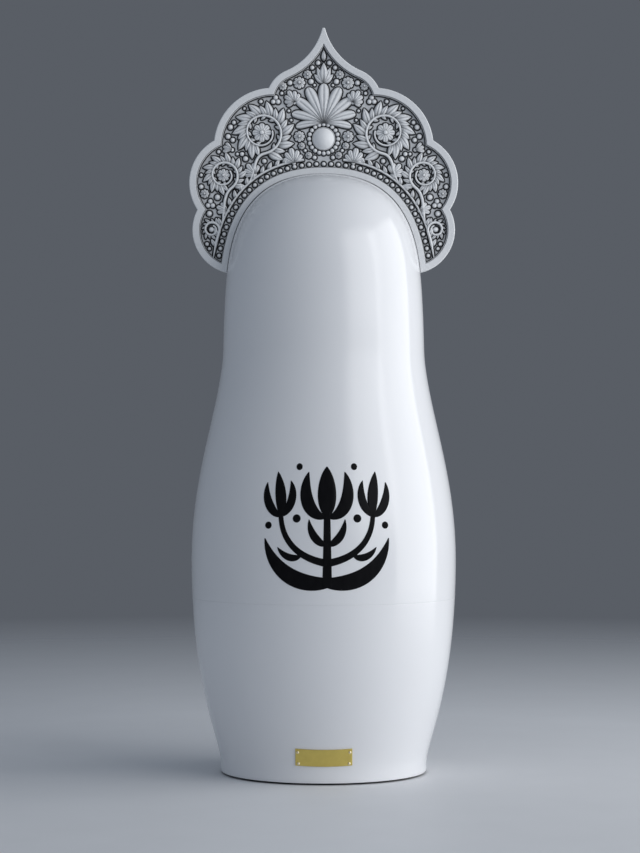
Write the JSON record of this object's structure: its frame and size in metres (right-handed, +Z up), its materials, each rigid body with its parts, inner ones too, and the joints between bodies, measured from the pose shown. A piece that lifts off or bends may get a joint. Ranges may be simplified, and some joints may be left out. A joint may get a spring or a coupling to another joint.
{
  "type": "nesting doll",
  "caption": "Tall white lacquered nesting doll with no face, opening at a spigot joint, with smaller dolls inside, a carved scalloped headdress and a small brass plate.",
  "frame": {"origin": "centre of the flat underside of the foot", "axes": "+Z up along the turning axis, -Y to the front with the plate and the carved face, +X to the right as seen from the front"},
  "size_m": [0.1608, 0.1584, 0.4455],
  "materials": {
    "white_lacquer": "glossy white lacquer over turned wood, bare wood inside",
    "headdress_paint": "matte pale grey paint over carved wood",
    "bare_wood": "bare turned wood",
    "brass": "satin brass"
  },
  "bodies": {
    "outer_lower": {"outer_lower_half": "white_lacquer", "brass_plate": "brass", "plate_pins": "brass"},
    "doll_2_lower": {"doll_2_lower_half": "white_lacquer"},
    "doll_3_lower": {"doll_3_lower_half": "white_lacquer"},
    "doll_4_lower": {"doll_4_lower_half": "white_lacquer"},
    "doll_5_lower": {"doll_5_lower_half": "white_lacquer"},
    "doll_6_lower": {"doll_6_lower_half": "white_lacquer"},
    "doll_7": {"doll_7_solid": "white_lacquer"},
    "doll_6_upper": {"doll_6_upper_half": "white_lacquer"},
    "doll_5_upper": {"doll_5_upper_half": "white_lacquer"},
    "doll_4_upper": {"doll_4_upper_half": "white_lacquer"},
    "doll_3_upper": {"doll_3_upper_half": "white_lacquer"},
    "doll_2_upper": {"doll_2_upper_half": "white_lacquer"},
    "outer_upper": {"outer_upper_half": "white_lacquer", "headdress_board": "headdress_paint", "headdress_dowels": "bare_wood", "spire_palmette": "headdress_paint", "centre_cabochon": "headdress_paint", "cabochon_beads": "headdress_paint", "left_carvings": "headdress_paint", "right_carvings": "headdress_paint", "arch_beads": "headdress_paint"}
  },
  "joints": [
    {"name": "doll_2_lower_lift", "type": "slide", "parent": "outer_lower", "child": "doll_2_lower", "axis": [0, 0, 1], "range_m": [0, 0.115]},
    {"name": "doll_3_lower_lift", "type": "slide", "parent": "doll_2_lower", "child": "doll_3_lower", "axis": [0, 0, 1], "range_m": [0, 0.0944]},
    {"name": "doll_4_lower_lift", "type": "slide", "parent": "doll_3_lower", "child": "doll_4_lower", "axis": [0, 0, 1], "range_m": [0, 0.0775]},
    {"name": "doll_5_lower_lift", "type": "slide", "parent": "doll_4_lower", "child": "doll_5_lower", "axis": [0, 0, 1], "range_m": [0, 0.0636]},
    {"name": "doll_6_lower_lift", "type": "slide", "parent": "doll_5_lower", "child": "doll_6_lower", "axis": [0, 0, 1], "range_m": [0, 0.0522]},
    {"name": "doll_7_lift", "type": "slide", "parent": "doll_6_lower", "child": "doll_7", "axis": [0, 0, 1], "range_m": [0, 0.0428]},
    {"name": "doll_6_upper_lift", "type": "slide", "parent": "doll_7", "child": "doll_6_upper", "axis": [0, 0, 1], "range_m": [0, 0.0763]},
    {"name": "doll_5_upper_lift", "type": "slide", "parent": "doll_6_upper", "child": "doll_5_upper", "axis": [0, 0, 1], "range_m": [0, 0.093]},
    {"name": "doll_4_upper_lift", "type": "slide", "parent": "doll_5_upper", "child": "doll_4_upper", "axis": [0, 0, 1], "range_m": [0, 0.1133]},
    {"name": "doll_3_upper_lift", "type": "slide", "parent": "doll_4_upper", "child": "doll_3_upper", "axis": [0, 0, 1], "range_m": [0, 0.1381]},
    {"name": "doll_2_upper_lift", "type": "slide", "parent": "doll_3_upper", "child": "doll_2_upper", "axis": [0, 0, 1], "range_m": [0, 0.1682]},
    {"name": "outer_upper_lift", "type": "slide", "parent": "doll_2_upper", "child": "outer_upper", "axis": [0, 0, 1], "range_m": [0, 0.205]}
  ]
}
